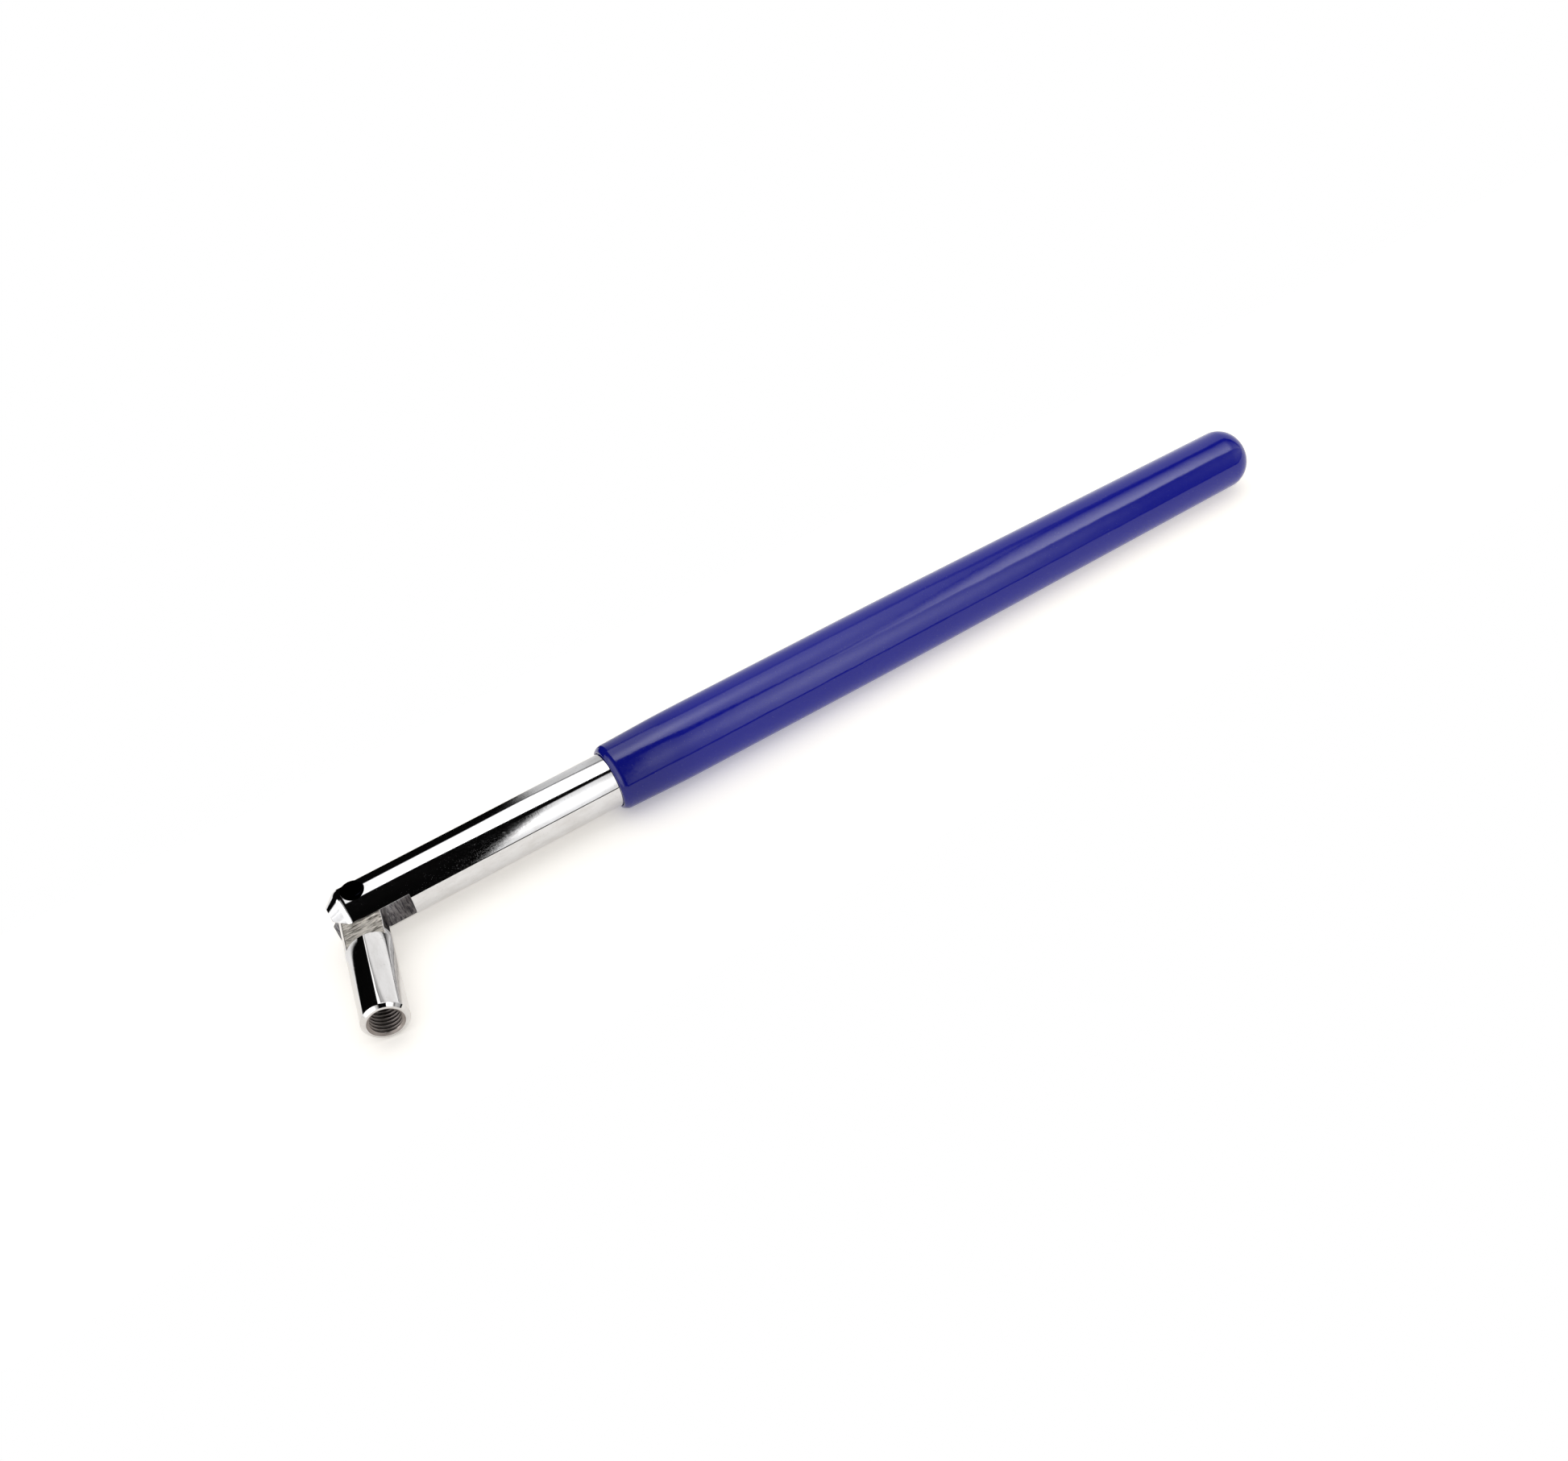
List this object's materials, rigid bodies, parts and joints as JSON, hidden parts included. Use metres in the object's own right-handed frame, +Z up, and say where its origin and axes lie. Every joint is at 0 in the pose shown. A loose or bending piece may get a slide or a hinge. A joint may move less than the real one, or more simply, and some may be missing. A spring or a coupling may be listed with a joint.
{
  "type": "swivel-head tool handle",
  "caption": "Long slim tool handle with a blue dipped grip and a polished rod whose forked nose carries a hinged, internally threaded socket.",
  "frame": {"origin": "middle of the footprint on the surface that the tool lies on, at rest", "axes": "+X along the handle from the hinge to the grip's closed end, +Z up, and the socket points towards -Y"},
  "size_m": [0.1989, 0.0322, 0.0128],
  "materials": {
    "polished_chrome": "mirror-polished chrome plate, bare milled steel in the fork",
    "pin_steel": "polished steel",
    "socket_chrome": "polished chrome plate, bare milled steel on the tongue",
    "blue_vinyl": "glossy dipped vinyl, deep ultramarine"
  },
  "bodies": {
    "handle": {"handle_rod": "polished_chrome", "hinge_pin": "pin_steel", "grip_sleeve": "blue_vinyl"},
    "socket": {"threaded_socket": "socket_chrome"}
  },
  "joints": [
    {"name": "socket_hinge", "type": "hinge", "parent": "handle", "child": "socket", "pos_m": [-0.09005, 0.00969, 0.00642], "axis": [0, -0.0992, 0.9951], "range_deg": [-198.4, 43.6]}
  ]
}
